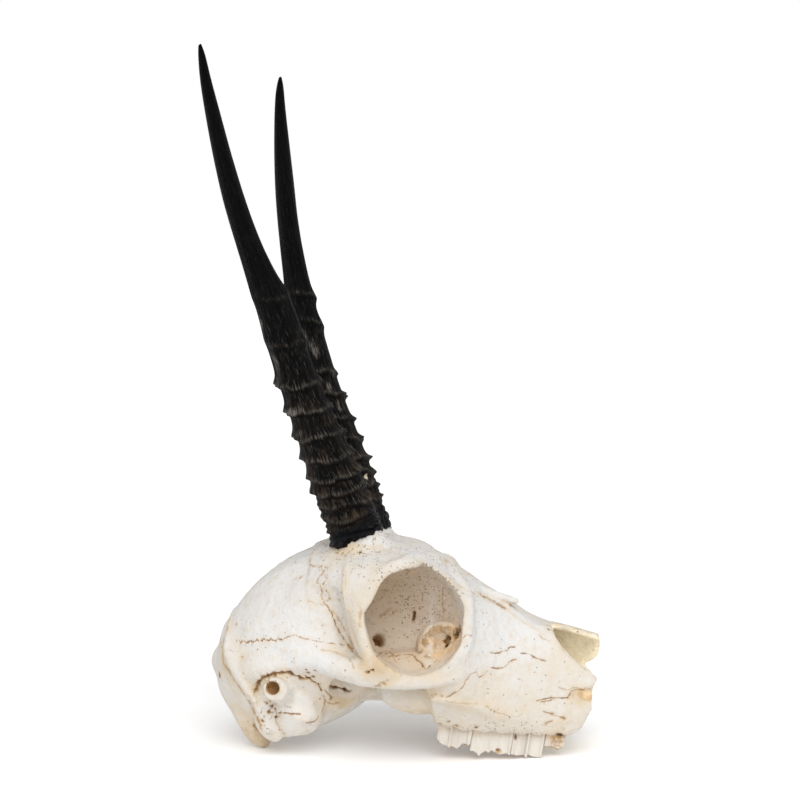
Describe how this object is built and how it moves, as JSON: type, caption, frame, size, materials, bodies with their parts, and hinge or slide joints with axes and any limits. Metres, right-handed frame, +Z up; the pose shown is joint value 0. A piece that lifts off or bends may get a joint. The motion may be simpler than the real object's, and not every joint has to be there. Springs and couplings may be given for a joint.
{
  "type": "oribi skull",
  "caption": "Bleached small-antelope skull without a lower jaw, broken at the snout, with ringed black horns and worn cheek teeth; it stands on its teeth and the back of the head.",
  "frame": {"origin": "middle of the bounding box in plan, at the level that the skull rests on", "axes": "+X to the snout, +Y to the animal's left, +Z up along the horns"},
  "size_m": [0.1182, 0.0848, 0.2058],
  "materials": {
    "bone": "dry bleached bone, matte, with brown sutures and stains",
    "right_horn": "ringed horn, charcoal black, low sheen, lengthwise striations",
    "left_horn": "ringed horn, charcoal black, low sheen, lengthwise striations",
    "enamel": "worn enamel and dentine, cream with brown edges"
  },
  "bodies": {
    "root": {"cranium": "bone", "right_horn_sheath": "right_horn", "left_horn_sheath": "left_horn", "right_molar_3": "enamel", "right_molar_2": "enamel", "right_molar_1": "enamel", "right_premolar_4": "enamel", "left_molar_3": "enamel", "left_molar_2": "enamel", "left_molar_1": "enamel", "left_premolar_4": "enamel"}
  },
  "joints": []
}
